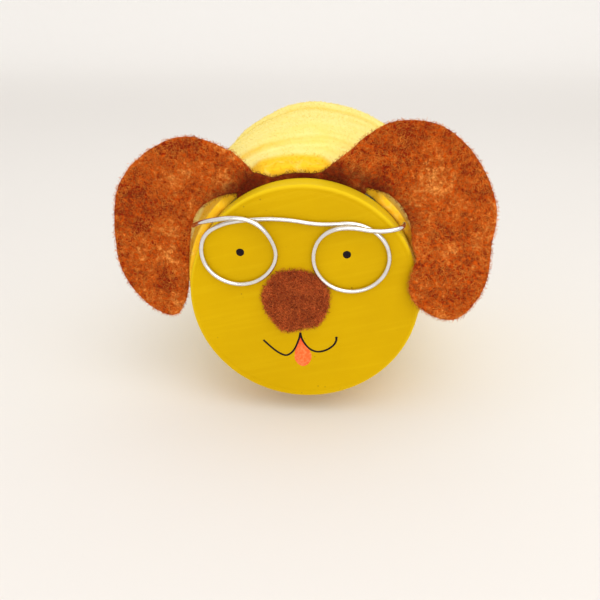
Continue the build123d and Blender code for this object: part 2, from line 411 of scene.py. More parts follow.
def makeJarPlastic():
    material, tree, shader, place = newMaterial("jarPlastic", 0.35, 0.5)
    wear = useGroup(tree, wearTree, {"Vector": place, "Speck Scale": 300.0, "Scratch Scale": 120.0})
    cloud = noiseAt(tree, place, 60.0, 3.0)
    colour = mixColour(tree, ramp(tree, cloud, 0.4, 0.75), plastic["colour"], plastic["stain"])
    finishWith(tree, shader, mixColour(tree, times(tree, wear["Specks"], 0.5), colour, plastic["stain"]),
               plus(tree, times(tree, wear["Gloss"], 0.3), 0.2))
    bump(tree, shader, plus(tree, cloud, wear["Scratches"]), 0.1, 0.0002)
    return material


ink = {"dense": (0.008, 0.004, 0.006, 1), "thin": (0.05, 0.015, 0.008, 1)}


def makeInk():
    material, tree, shader, place = newMaterial("penInk", 0.55, 0.12)
    patchy = noiseAt(tree, place, 1500.0, 3.0, 0.6)
    finishWith(tree, shader, mixColour(tree, ramp(tree, patchy, 0.5, 0.8), ink["dense"], ink["thin"]),
               ramp(tree, patchy, -0.8, 1.2))
    bump(tree, shader, patchy, 0.2, 0.0001)
    return material


tongueColours = {"coral": (0.86, 0.13, 0.028, 1), "red": (0.70, 0.045, 0.015, 1),
                 "pale": (0.92, 0.24, 0.08, 1)}


def makeTonguePaint(top, length):
    material, tree, shader, place = newMaterial("tonguePaint", 0.6, 0.05)
    drop = put(tree, "ShaderNodeSeparateXYZ", {0: place}).outputs["Z"]
    grain = noiseAt(tree, place, 1300.0, 3.0, 0.65)
    washed = mixColour(tree, ramp(tree, grain, 0.4, 0.7), tongueColours["coral"], tongueColours["pale"])
    high = ramp(tree, drop, top - length * 0.4, top)
    finishWith(tree, shader, mixColour(tree, times(tree, high, 0.7), washed, tongueColours["red"]),
               ramp(tree, grain, -1.2, 1.0))
    bump(tree, shader, grain, 0.2, 0.0001)
    return material


# mesh helpers


def newObject(name, data):
    made = bpy.data.objects.new(name, data)
    bpy.context.scene.collection.objects.link(made)
    return made


# Runs a Geometry Nodes tree on an object and keeps its result as the object's plain mesh
def applyTree(carrier, tree, values):
    modifier = carrier.modifiers.new("tree", "NODES")
    modifier.node_group = tree
    for item in tree.interface.items_tree:
        if item.in_out == "INPUT" and item.name in values:
            modifier[item.identifier] = values[item.name]
    bpy.context.view_layer.update()
    grown = carrier.evaluated_get(bpy.context.evaluated_depsgraph_get())
    mesh = bpy.data.meshes.new_from_object(grown)
    mesh.name = carrier.name
    carrier.modifiers.remove(modifier)
    carrier.data = mesh
    return carrier


def newPiece(name, points, faces, material):
    mesh = bpy.data.meshes.new(name)
    mesh.from_pydata([tuple(p) for p in points], [], [tuple(f) for f in faces])
    mesh.validate()
    mesh.materials.append(material)
    mesh.shade_smooth()
    return newObject(name, mesh)


# A smooth closed or open line through points, by Catmull and Rom's rule
def throughPoints(corners, steps, closed):
    corners = [np.array(c, float) for c in corners]
    count = len(corners)
    line = []
    for i in range(count if closed else count - 1):
        if closed:
            a, b, c, d = (corners[(i + k) % count] for k in (-1, 0, 1, 2))
        else:
            a, b, c, d = (corners[min(max(i + k, 0), count - 1)] for k in (-1, 0, 1, 2))
        for k in range(steps):
            t = k / steps
            line.append(0.5 * (2 * b + (c - a) * t + (2 * a - 5 * b + 4 * c - d) * t**2
                               + (3 * b - a - 3 * c + d) * t**3))
    if not closed:
        line.append(corners[-1])
    return np.array(line)


def isInside(points, loop):
    x, y = points[:, 0], points[:, 1]
    found = np.zeros(len(points), bool)
    for (ax, ay), (bx, by) in zip(loop, np.roll(loop, -1, axis=0)):
        crosses = (ay > y) != (by > y)
        with np.errstate(divide="ignore", invalid="ignore"):
            found ^= crosses & (x < (bx - ax) * (y - ay) / (by - ay) + ax)
    return found


# Distance from each point to the nearest stretch of a line
def distanceTo(points, line):
    best = np.full(len(points), 1e9)
    for a, b in zip(line[:-1], line[1:]):
        d = b - a
        t = np.clip(((points - a) @ d) / max(d @ d, 1e-12), 0, 1)
        best = np.minimum(best, np.linalg.norm(points - a - t[:, None] * d, axis=1))
    return best


# Fills an outline with even points, closer together along its free edge
def fillOutline(freeEdge, rootEdge, spacing, rings):
    loop = np.concatenate([freeEdge, rootEdge[1:-1]]) if len(rootEdge) else freeEdge
    closedLoop = np.concatenate([loop, loop[:1]])
    low, high = loop.min(0), loop.max(0)
    rows = []
    for k in range(int((high[1] - low[1]) / (spacing * 0.866)) + 2):
        x = np.arange(low[0] + (k % 2) * spacing / 2, high[0], spacing)
        rows.append(np.stack([x, np.full(len(x), low[1] + k * spacing * 0.866)], axis=1))
    grid = np.concatenate(rows)
    grid = grid[isInside(grid, loop)]
    grid = grid[distanceTo(grid, closedLoop) > max(rings + [0]) + spacing * 0.5]
    along = np.gradient(freeEdge, axis=0)
    across = np.stack([along[:, 1], -along[:, 0]], axis=1)
    across /= np.linalg.norm(across, axis=1)[:, None]
    if not isInside((freeEdge + across * 0.05)[len(freeEdge) // 2][None], loop)[0]:
        across = -across
    layers = [grid]
    for ring in rings:
        moved = freeEdge + across * ring
        moved = moved[isInside(moved, loop)]
        layers.append(moved[distanceTo(moved, closedLoop) > ring * 0.9])
    inner = np.concatenate(layers)
    points = np.concatenate([loop, inner])
    edges = [(i, (i + 1) % len(loop)) for i in range(len(loop))]
    made = delaunay_2d_cdt([Vector(p) for p in points], edges, [], 1, 1e-5)
    flat = np.array([tuple(p) for p in made[0]])
    return flat, [list(f) for f in made[2]]


# Turns every flat face the same way round
def facingFront(flat, faces):
    fixed = []
    for f in faces:
        a, b, c = flat[f[0]], flat[f[1]], flat[f[2]]
        area = (b[0] - a[0]) * (c[1] - a[1]) - (b[1] - a[1]) * (c[0] - a[0])
        fixed.append(f if area > 0 else f[::-1])
    return fixed


# A sheet of felt: full thickness at its root, a rounded cut edge everywhere else
def feltSheet(name, freeCorners, depthAt, settings, material):
    free = throughPoints(freeCorners, settings["edgeSteps"], False)
    # the cut edge is a little ragged
    for k in range(1, len(free) - 1):
        run = free[k + 1] - free[k - 1]
        out = np.array([run[1], -run[0]]) / np.linalg.norm(run)
        free[k] = free[k] + out * settings["ragged"] * wander(k * 0.83, 0.4, 34)
    count = max(2, int(np.linalg.norm(free[-1] - free[0]) / settings["spacing"]))
    root = np.array([free[-1] + (free[0] - free[-1]) * k / count for k in range(count + 1)])
    flat, faces = fillOutline(free, root, settings["spacing"], settings["rings"])
    faces = facingFront(flat, faces)
    half = felt / 2
    inFrom = distanceTo(flat, free)
    share = np.clip(inFrom / half, 0, 1)
    thick = half * np.sqrt(1 - (1 - share) ** 2)
    thick[inFrom < 1e-4] = 0
    depth = np.array([depthAt(x, z) for x, z in flat])
    step = 0.05
    slopeX = (np.array([depthAt(x + step, z) for x, z in flat]) - depth) / step
    slopeZ = (np.array([depthAt(x, z + step) for x, z in flat]) - depth) / step
    lift = thick / np.sqrt(1 + slopeX**2 + slopeZ**2)
    front = [facePoint(x + sx * h, z + sz * h, d - h)
             for (x, z), d, sx, sz, h in zip(flat, depth, slopeX, slopeZ, lift)]
    back = [facePoint(x - sx * h, z - sz * h, d + h)
            for (x, z), d, sx, sz, h in zip(flat, depth, slopeX, slopeZ, lift)]
    # front and back share the points on the free edge
    shared = {i: i for i in range(len(flat)) if thick[i] == 0}
    points = list(front)
    for i, p in enumerate(back):
        if i not in shared:
            shared[i] = len(points)
            points.append(p)
    allFaces = [list(f) for f in faces] + [[shared[i] for i in reversed(f)] for f in faces]
    # the root's cut face joins the two sides
    uses = {}
    for f in faces:
        for a, b in zip(f, f[1:] + f[:1]):
            uses[(a, b)] = uses.get((a, b), 0) + 1
    for a, b in uses:
        if (b, a) not in uses and not (shared[a] == a and shared[b] == b):
            ring = [b, a, shared[a], shared[b]]
            allFaces.append([v for k, v in enumerate(ring) if v != ring[k - 1]])
    return newPiece(name, points, allFaces, material)


# A flat spot of paint or a domed pad on the face, with its back on the face
def facePad(name, loop, height, rounding, spacing, rings, material, sink):
    flat, faces = fillOutline(loop, [], spacing, rings)
    faces = facingFront(flat, faces)
    inFrom = distanceTo(flat, np.concatenate([loop, loop[:1]]))
    share = np.clip(inFrom / rounding, 0, 1)
    rise = height * np.sqrt(np.clip(1 - (1 - share) ** 2, 0, 1))
    rise[inFrom < 1e-4] = 0
    points = [facePoint(x, z, sink - h) for (x, z), h in zip(flat, rise)]
    shared = {i: i for i in range(len(flat)) if rise[i] == 0}
    for i, (x, z) in enumerate(flat):
        if i not in shared:
            shared[i] = len(points)
            points.append(facePoint(x, z, sink + 0.02))
    allFaces = [list(f) for f in faces] + [[shared[i] for i in reversed(f)] for f in faces]
    return newPiece(name, points, allFaces, material)


# The faces between one ring of points and another, given by their first points
def band(first, second, segments):
    faces = []
    for k in range(segments):
        n = (k + 1) % segments
        faces.append([first + k, first + n, second + n, second + k])
    return faces


# A round body turned about the jar's axis: rows of (radius, depth) functions of the angle
def turned(rows, segments):
    points, faces = [], []
    for row in rows:
        for k in range(segments):
            angle = 2 * math.pi * k / segments
            radius, depth = row(angle)
            points.append(facePoint(radius * math.cos(angle), radius * math.sin(angle), depth))
    for i in range(len(rows) - 1):
        faces += band(i * segments, (i + 1) * segments, segments)
    return points, faces


# fibres: short bent hairs scattered over a surface

def newShapeTree(name, inputs):
    tree = bpy.data.node_groups.new(name, "GeometryNodeTree")
    for label, kind in {"Geometry": "Geometry", **inputs, "Finish": "Material"}.items():
        tree.interface.new_socket(name=label, in_out="INPUT", socket_type="NodeSocket" + kind)
    tree.interface.new_socket(name="Geometry", in_out="OUTPUT", socket_type="NodeSocketGeometry")
    return tree, tree.nodes.new("NodeGroupInput").outputs


# Every tree ends as plain faces with their material
def closeTree(tree, given, shape):
    real = put(tree, "GeometryNodeRealizeInstances", {0: shape})
    finished = put(tree, "GeometryNodeSetMaterial",
                   {"Geometry": real.outputs[0], "Material": given["Finish"]})
    out = tree.nodes.new("NodeGroupOutput")
    tree.links.new(finished.outputs[0], out.inputs["Geometry"])
    return tree


def buildFibreTree():
    tree, given = newShapeTree("fibreCoat", {
        "Density": "Float", "Length": "Float", "Thickness": "Float", "Lift": "Float", "Seed": "Int",
    })
    scatter = put(tree, "GeometryNodeDistributePointsOnFaces", {
        "Mesh": given["Geometry"],
        "Density": given["Density"],
        "Seed": given["Seed"],
    }, distribute_method="RANDOM")
    middle = put(tree, "ShaderNodeCombineXYZ", {"X": 0.55, "Y": 0.12, "Z": given["Lift"]})
    end = put(tree, "ShaderNodeCombineXYZ", {"X": 1.0, "Y": -0.1, "Z": times(tree, given["Lift"], 0.8)})
    hair = put(tree, "GeometryNodeCurveQuadraticBezier", {
        "Resolution": 4,
        "Start": (0.0, 0.0, -0.02),
        "Middle": middle.outputs[0],
        "End": end.outputs[0],
    })
    slim = arithmetic(tree, "DIVIDE", given["Thickness"], given["Length"])
    section = put(tree, "GeometryNodeCurvePrimitiveCircle", {"Resolution": 3, "Radius": slim})
    short = put(tree, "GeometryNodeResampleCurve", {"Curve": hair.outputs[0], "Count": 3})
    tube = put(tree, "GeometryNodeCurveToMesh",
               {"Curve": short.outputs[0], "Profile Curve": section.outputs[0]})
    turn = put(tree, "FunctionNodeRandomValue", {
        0: (-0.45, -0.35, 0.0),
        1: (0.45, 0.35, 2 * math.pi),
        "Seed": given["Seed"],
    }, data_type="FLOAT_VECTOR")
    euler = put(tree, "FunctionNodeEulerToRotation", {0: turn.outputs[0]})
    rotation = put(tree, "FunctionNodeRotateRotation", {
        0: scatter.outputs["Rotation"],
        1: euler.outputs[0],
    }, rotation_space="LOCAL")
    spread = put(tree, "FunctionNodeRandomValue",
                 {2: 0.5, 3: 1.15, "Seed": plus(tree, given["Seed"], 3.0)}, data_type="FLOAT")
    size = times(tree, spread.outputs[1], given["Length"])
    instances = put(tree, "GeometryNodeInstanceOnPoints", {
        "Points": scatter.outputs["Points"],
        "Instance": tube.outputs[0],
        "Rotation": rotation.outputs[0],
        "Scale": size,
    })
    tone = put(tree, "FunctionNodeRandomValue", {2: 0.0, 3: 1.0, "Seed": plus(tree, given["Seed"], 9.0)},
               data_type="FLOAT")
    stored = put(tree, "GeometryNodeStoreNamedAttribute", {
        "Geometry": instances.outputs[0],
        "Name": "shade",
        "Value": tone.outputs[1],
    }, data_type="FLOAT", domain="INSTANCE")
    return closeTree(tree, given, stored.outputs[0])


fibreTree = buildFibreTree()


# Grows fibres on a piece's own surface and returns them as a plain mesh piece
def growFibres(name, piece, settings, material):
    coat = applyTree(newObject(name, piece.data.copy()), fibreTree, {
        "Density": settings["perSquareMillimetre"] * 1e6,
        "Length": settings["length"] * mm,
        "Thickness": settings["thickness"] * mm,
        "Lift": settings["lift"],
        "Seed": settings["seed"],
        "Finish": material,
    })
    print(name, "has", len(coat.data.polygons), "faces")
    return coat


def dress(piece, body):
    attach(piece, body)
    return piece

# the lid, a shallow painted cap

lidShape = {
    "edgeRound": 1.25,
    "wall": 1.8,
    "top": 1.2,
    "dish": 0.05,  # the middle of the face lies this much lower
    "creaseRadius": 36.1,
    "creaseDepth": 0.10,
    "segments": 180,
}


def buildLid():
    shape = lidShape
    low = lidRadius - shape["edgeRound"]

    def faceRow(radius):
        def row(angle):
            dish = shape["dish"] * (1 - (radius / low) ** 2) * smoothStep(radius, 0.0, low)
            hollow = shape["creaseDepth"] * math.exp(-(((radius - shape["creaseRadius"]) / 0.45) ** 2))
            ripple = 0.02 * wander(radius * math.cos(angle) * 0.09, radius * math.sin(angle) * 0.09, 2)
            return radius, float(dish) + hollow + abs(ripple)
        return row

    def plainRow(radius, depth):
        return lambda angle: (radius, depth)

    radii = [0.6, 3, 6, 9, 12, 15, 18, 21, 24, 26.5, 29, 31, 32.5, 33.8, 34.6, 35.2, 35.6, 35.9]
    radii = [r * low / 36.2 for r in radii] + [low]
    rows = [faceRow(r) for r in radii]
    for k in range(1, 9):
        turn = math.pi / 2 * k / 8
        rows.append(plainRow(low + shape["edgeRound"] * math.sin(turn),
                             shape["edgeRound"] * (1 - math.cos(turn))))
    for depth in (3.0, 4.6, 6.2, 7.6, lidDepth - 0.45):
        rows.append(plainRow(lidRadius, depth))
    rows.append(plainRow(lidRadius - 0.12, lidDepth - 0.12))
    rows.append(plainRow(lidRadius - 0.45, lidDepth))
    inner = lidRadius - shape["wall"]
    rows.append(plainRow(inner + 0.35, lidDepth))
    rows.append(plainRow(inner, lidDepth - 0.3))
    for depth in (6.0, 3.0, shape["top"] + 0.2):
        rows.append(plainRow(inner, depth))
    for radius in (inner - 0.5, 26.0, 16.0, 8.0, 0.6):
        rows.append(plainRow(radius, shape["top"]))
    points, faces = turned(rows, shape["segments"])
    segments = shape["segments"]
    faces.append(list(range(segments))[::-1])
    faces.append([(len(rows) - 1) * segments + k for k in range(segments)])
    return newPiece("lidCap", points, faces, makeLidPaint())


def outwards(piece):
    mesh = bmesh.new()
    mesh.from_mesh(piece.data)
    bmesh.ops.recalc_face_normals(mesh, faces=mesh.faces)
    mesh.to_mesh(piece.data)
    mesh.free()
    return piece


lid = dress(outwards(buildLid()), "face")
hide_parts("lid")
print("lid made")

# the fleece wound round the jar


# Keeps how much painted shade each point gets, for the fleece's colour
def storeShade(piece, paintedShade):
    stored = piece.data.attributes.new("paintedShade", "FLOAT", "POINT")
    stored.data.foreach_set("value", np.array(paintedShade, np.float32))
    return piece


fleeceShape = {
    "segments": 384,
    "centreLift": 1.5,  # its middle is above the jar's middle
    "ridge": 1.7,
    "forward": 3.2,
    "atStrip": 0.4,
    "earRoom": 1.5,
    "behindEar": 0.5,
    "tucked": 11.35,  # depth to which the first rows tuck in behind the rim
    "fullest": 48.2,
    "rimRoom": 0.35,
    "rimGap": 0.2,
    # angles round the lid, and where each zone begins and ends, counted from them
    "stripAngle": 97.0,
    "stripZone": (13.0, 20.0),
    "lipAngle": 93.0,
    "lipZone": (38.0, 44.0),
    # depths where each effect comes in and goes out
    "frontRows": (11.4, 15.0),
    "rollRises": (11.0, 13.5),
    "rollFalls": (16.0, 25.0),
    "swingRises": (11.3, 12.6),
    "swingFalls": (17.0, 24.0),
    "looseRises": (12.5, 21.0),
    "looseFalls": (96.0, 100.0),
    # height, scale, how far it runs across and up with depth, seed
    "waves": [(0.9, 2.2, 0.010, 0.028, 4), (0.28, 9.0, 0.06, 0.16, 5), (0.10, 30.0, 0.3, 0.5, 6)],
    "profile": [
        # depth, radius: the front roll, its groove, the body, a rear groove and the rear edge
        (11.15, 37.8), (11.1, 38.7), (11.4, 39.9), (13.3, 41.3), (15.7, 42.5), (18.3, 43.2), (21.2, 43.5),
        (24.0, 43.9), (27.0, 45.0), (31.0, 46.2), (36.0, 47.0), (42.0, 47.5), (50.0, 47.9), (58.0, 48.0),
        (66.0, 47.9), (72.0, 47.6), (77.0, 47.2), (81.0, 47.2), (85.0, 47.6), (90.0, 48.1), (95.0, 47.9),
        (98.4, 46.8), (100.2, 45.0), (100.6, 43.2),
    ],
    # across the jar's shoulder the lining follows the shoulder
    "lining": [
        (99.0, 42.35), (80.0, 42.35), (60.0, 42.35), (45.0, 42.35), (33.0, 42.35), (29.0, 41.9),
        (24.0, 40.4), (19.0, 38.6), (14.5, 37.4),
    ],
}


# Radius and depth on the outside, from the plain profile. x and y say where it is round the jar
def fleecePlace(row, radius, depth, x, y):
    shape = fleeceShape
    degrees = math.degrees(math.atan2(y, x))
    left = 0.5 - 0.5 * x  # 0 on the right, 1 on the left
    rolled = float(smoothStep(depth, *shape["rollRises"]) * (1 - smoothStep(depth, *shape["rollFalls"])))
    r = radius + rolled * shape["ridge"] * (0.9 * left - 0.75) * (1.0 if y > -0.2 else 0.5)
    front = 1 - float(smoothStep(depth, *shape["frontRows"]))
    d = depth + front * 0.25 * wander(x * 3.1, y * 3.1, 3)
    # the lip stands just behind the felt strip, further back behind the ears and forward beside the lid
    aside = abs(degrees - shape["stripAngle"]) if y > 0 else shape["stripAngle"]
    midStrip = 1 - float(smoothStep(aside, *shape["stripZone"]))
    d -= front * (shape["atStrip"] * midStrip - shape["behindEar"] * (1 - midStrip))
    beside = float(smoothStep(abs(degrees - shape["lipAngle"]), *shape["lipZone"])) if y > 0 else 1.0
    d -= front * beside * shape["forward"]
    # room for the ears to swing back
    swing = float(smoothStep(depth, *shape["swingRises"]) * (1 - smoothStep(depth, *shape["swingFalls"])))
    r -= swing * (1 - midStrip) * shape["earRoom"]
    # its first rows tuck in just behind the lid's rim
    if depth < shape["tucked"]:
        behindRim = lidRadius - 0.1 - shape["centreLift"] * y
        r = max(r, behindRim + 0.12 * row) if row else behindRim
    if math.hypot(r * x, r * y + shape["centreLift"]) < lidRadius + shape["rimRoom"]:
        d = max(d, lidDepth + shape["rimGap"])
    free = float(smoothStep(depth, *shape["looseRises"]) * (1 - smoothStep(depth, *shape["looseFalls"])))
    for height, scale, acrossRun, upRun, seed in shape["waves"]:
        r += free * height * wander(x * scale + depth * acrossRun, y * scale + depth * upRun, seed)
    # soft creases run nearly parallel to the rim
    phase = depth * 0.46 + 0.9 * wander(x * 1.7, y * 1.7, 8) * 2.0
    r += free * 0.12 * math.sin(phase) * (0.3 + 0.7 * abs(wander(x * 2.6, y * 2.6, 9)))
    return min(r, shape["fullest"]), d


# How much painted shade, deep and warm, the colour gets: most on the front roll, with streaks in the two
# soft grooves
def fleeceShadeAmount(depth, x, y):
    left = 0.5 - 0.5 * x
    reach = 15.5 + 5.0 * left + 1.5 * wander(x * 2.5, y * 2.5, 14)
    shaded = float(1 - smoothStep(depth, reach - 3.0, reach + 1.5)) * 0.95
    streak = 0.5 + 0.9 * wander(x * 1.6 + depth * 0.02, depth * 0.42 + y * 1.5, 15)
    groove = math.exp(-(((depth - 27.0) / 4.5) ** 2)) * 0.60 + math.exp(-(((depth - 79) / 5.0) ** 2)) * 0.45
    groove += 0.14
    # more painted shade on the underside
    under = float(smoothStep(-y, -0.1, 0.9)) * 0.35
    return min(1.0, max(shaded, groove * min(max(streak, 0.0), 1.0)) + under)


def buildFleece():
    shape = fleeceShape
    segments = shape["segments"]
    outer = throughPoints(shape["profile"], 4, False)
    path = np.concatenate([outer, np.array(shape["lining"])])
    points, paintedShade, faces = [], [], []
    for row, (radius, depth) in enumerate((r, d) for d, r in path):
        onOuter = row < len(outer)
        for k in range(segments):
            angle = 2 * math.pi * k / segments
            x, y = math.cos(angle), math.sin(angle)
            r, d = fleecePlace(row, radius, depth, x, y) if onOuter else (radius, depth)
            # on the table the underside is pressed flat
            p = facePoint(r * x, r * y + (shape["centreLift"] if onOuter else 0.0), d)
            p.z = max(p.z, 0.0)
            points.append(p)
            paintedShade.append(fleeceShadeAmount(depth, x, y) if onOuter else 0.0)
    for i in range(len(path)):
        faces += band(i * segments, (i + 1) % len(path) * segments, segments)
    return outwards(storeShade(newPiece("fleeceWrap", points, faces, makeFleece()), paintedShade))


fleece = dress(buildFleece(), "container")
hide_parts("fleece_wrap")
print("fleece made")

# the fleece's end, gathered in over the jar's base

endShape = {"radius": 45.6, "front": 97.9, "back": 101.0, "segments": 200, "rings": 30, "pleats": 17}


def buildFleeceEnd():
    shape = endShape
    segments = shape["segments"]
    points, faces, paintedShade = [], [], []
    for side in (0, 1):
        for i in range(shape["rings"] + 1):
            share = i / shape["rings"]
            radius = shape["radius"] * (0.02 + 0.98 * share)
            for k in range(segments):
                angle = 2 * math.pi * k / segments
                x, y = math.cos(angle), math.sin(angle)
                # uneven gathers fade out from the middle to the rim
                pleat = 0.5 + 0.5 * math.sin(angle * shape["pleats"] + 5.0 * wander(x * 1.6, y * 1.6, 12))
                pleat = 1 - (1 - pleat) * (0.35 + 0.65 * abs(wander(x * 3.0, y * 3.0, 16)) * 1.6)
                soft = wander(x * share * 4, y * share * 4, 13)
                if side:
                    depth = (shape["back"] - 0.5 - 1.0 * (1 - share) ** 3
                             - 0.55 * (1 - pleat) * (1 - share) ** 1.1 + 0.35 * soft)
                    depth -= 1.6 * float(smoothStep(share, 0.9, 1.0)) ** 2
                    depth = min(depth, shape["back"])
                else:
                    depth = shape["front"]
                points.append(facePoint(radius * x, radius * y + 1.4, depth))
                # painted shade in the gathers, deepest towards the middle
                paintedShade.append(min(1.0, (1 - pleat) * (1 - share) * 0.55 + 0.1 + 0.12 * soft) if side else 0.0)
    rows = shape["rings"] + 1
    for side in (0, 1):
        base = side * rows * segments
        for i in range(shape["rings"]):
            faces += band(base + i * segments, base + (i + 1) * segments, segments)
        faces.append([base + k for k in range(segments)])
    rim = (rows - 1) * segments
    faces += band(rim, rows * segments + rim, segments)
    return outwards(storeShade(newPiece("fleeceEnd", points, faces, fleece.data.materials[0]), paintedShade))


fleeceEnd = dress(buildFleeceEnd(), "container")
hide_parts("fleece_back")
print("fleece end made")

# the felt ears and the strip that they are cut from

flexGap = 1.0
leftBend = (atRim(125.5, 1.3), atRim(112.8, 4.8))
rightBend = (atRim(81.5, 2.6), atRim(60.3, 1.6))


# The bend line moved to the ear's side, where its felt begins
def rootOf(bend, side):
    a, b = np.array(bend[0]), np.array(bend[1])
    along = (b - a) / np.linalg.norm(b - a)
    return [p + np.array([-along[1], along[0]]) * side * flexGap / 2 for p in (a, b)]


earShape = {
    "spacing": 1.5,
    "rings": [0.16, 0.42, 0.75, 1.3],
    "edgeSteps": 14,
    "waver": 0.35,
    "ragged": 0.22,
    "left": [(134.5, 4.6), (146, 6.3), (163, 3.3), (185, 3.4), (194.5, 9.8), (189, 17.7), (179, 24.6),
             (168, 28.2),
             (152, 32.4), (139, 30.4), (127, 25.0), (117.5, 14.1)],
    "right": [(49.8, 4.4), (38, 4.0), (29, 1.3), (23.5, 0.6), (17, -2.2), (9, -3.8), (0, -1.4), (-5.6, 6.5),
              (-3.8, 13.1), (5.7, 19.6), (19.9, 27.2), (30, 30.6), (43, 31.5), (54.2, 29.8), (65.5,
                      22.1), (75, 8.7)],
    # how far the right ear leans: drop below its bend as a share of the lid's radius, depth of its middle
    "lean": [(-1.6, 19.6), (-1.05, 11.45), (-0.08, 9.85), (0.085, 5.91), (0.24, 0.05), (0.34, -1.85),
             (0.58, -2.95), (0.95, -3.95)],
}
feltMaterial = makeEarFelt()
rightRoots = rootOf(rightBend, 1)
leftRoots = rootOf(leftBend, 1)
leanLine = throughPoints([(a * lidRadius, d) for a, d in earShape["lean"]], 12, False)
leanToe = np.array(rightRoots[1]) * 0.5 + np.array(rightRoots[0]) * 0.5


def leftDepth(x, z):
    away = max(0.0, -x - 22.0)
    soft = smoothStep(away, 0.0, 14.0)
    return feltMiddle + 0.28 * float(soft) * wander(x * 0.07, z * 0.07, 21)


def rightDepth(x, z):
    ear = np.array([x, z]) - leanToe
    drop = -float(ear @ leanNormal)
    base = float(np.interp(drop, leanLine[:, 0], leanLine[:, 1]))
    hanging = float(smoothStep(drop, 6.0, 16.0))
    return base - 0.28 * hanging * wander(x * 0.06, z * 0.06,
                                          22) - 0.25 * hanging * abs(wander(x * 0.03, z * 0.05, 23))


# Sideways unevenness of a hand-cut edge, kept off its two ends
def waver(corners, seed, amount):
    middle = np.mean(corners, axis=0)
    moved = [corners[0]]
    for k, p in enumerate(corners[1:-1]):
        out = (p - middle) / np.linalg.norm(p - middle)
        moved.append(p + out * amount * wander(k * 1.7, 0.3, seed))
    return moved + [corners[-1]]


leanAlong = np.array(rightBend[1]) - np.array(rightBend[0])
leanAlong /= np.linalg.norm(leanAlong)
leanNormal = np.array([-leanAlong[1], leanAlong[0]])

# Each ear runs on over its bend line to the strip
leftOver, rightOver = rootOf(leftBend, -1), rootOf(rightBend, -1)
leftEdge = [leftOver[0], leftRoots[0]] + [np.array(atRim(*p))
                                          for p in earShape["left"]] + [leftRoots[1], leftOver[1]]
rightEdge = [rightOver[1], rightRoots[1]] + [np.array(atRim(*p))
                                             for p in earShape["right"]] + [rightRoots[0], rightOver[0]]
leftEdge = waver(leftEdge, 31, earShape["waver"])
rightEdge = waver(rightEdge, 32, earShape["waver"])

leftEar = outwards(feltSheet("leftEar", leftEdge, leftDepth, earShape, feltMaterial))
rightEar = outwards(feltSheet("rightEar", rightEdge, rightDepth, earShape, feltMaterial))


def areaOf(piece):
    return sum(f.area for f in piece.data.polygons)


stripShape = {"spacing": 0.8, "rings": [0.2, 0.5], "edgeSteps": 8, "top": 1.2, "inner": 36.3,
              "cutEdges": 40e-6}


def buildStrip():
    shape = stripShape
    ends = [leftOver, rightOver]
    inner = [np.array((shape["inner"] * math.cos(math.radians(a)),
                       shape["inner"] * math.sin(math.radians(a))))
             for a in np.linspace(60.3, 125.5, 14)]
    top = [np.array(atRim(a, shape["top"] + 0.12 * wander(a, 0.5, 33))) for a in (106, 101, 96, 91, 86)]
    free = throughPoints([ends[0][1]] + top + [ends[1][0]], shape["edgeSteps"], False)
    under = [ends[1][1]] + inner + [ends[0][0]]
    loop = np.array(list(free) + under)
    flat, faces = fillOutline(loop, [], shape["spacing"], [])
    faces = facingFront(flat, faces)
    count = len(flat)
    points = [facePoint(x, z, feltFront) for x, z in flat] + [facePoint(x, z, feltFront + felt)
                                                              for x, z in flat]
    allFaces = [list(f) for f in faces] + [[i + count for i in reversed(f)] for f in faces]
    uses = {(a, b) for f in faces for a, b in zip(f, f[1:] + f[:1])}
    for a, b in uses:
        if (b, a) not in uses:
            allFaces.append([b, a, a + count, b + count])
    return outwards(newPiece("earStrip", points, allFaces, feltMaterial))


earStrip = buildStrip()
fibreLook = {
    "ear": {"perSquareMillimetre": 4.0, "length": 1.3, "thickness": 0.05, "lift": 0.42, "seed": 41},
    "strip": {"perSquareMillimetre": 4.0, "length": 1.3, "thickness": 0.04, "lift": 0.45, "seed": 42},
    "nose": {"perSquareMillimetre": 17.0, "length": 1.7, "thickness": 0.05, "lift": 0.62, "seed": 43},
    "fleece": {"perSquareMillimetre": 1.5, "length": 0.65, "thickness": 0.045, "lift": 0.35, "seed": 44},
    "fleeceRest": {"perSquareMillimetre": 0.8, "length": 0.9, "thickness": 0.05, "lift": 0.5, "seed": 45},
    "fleeceEnd": {"perSquareMillimetre": 0.8, "length": 0.9, "thickness": 0.05, "lift": 0.5, "seed": 46},
    "frontTo": 46.0,  # depth where the close nap ends
}
earFibre = makeFibre("earFibre", (0.24, 0.015, 0.003, 1), (0.97, 0.35, 0.05, 1), 0.5, glued=True)
leftFibres = growFibres("leftEarFibres", leftEar, fibreLook["ear"], earFibre)
rightFibres = growFibres("rightEarFibres", rightEar, fibreLook["ear"], earFibre)
stripFibres = growFibres("earStripFibres", earStrip, fibreLook["strip"], earFibre)


for piece in (leftEar, leftFibres):
    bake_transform(piece)
for piece in (rightEar, rightFibres):
    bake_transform(piece)
for piece in (earStrip, stripFibres):
    dress(piece, "face")
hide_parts("ear_left")
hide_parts("ear_right")
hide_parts("ear_strip")
print("ears made", [round(areaOf(p) / 2 * 1e6) for p in (leftEar, rightEar, earStrip)])

# the fleece's nap


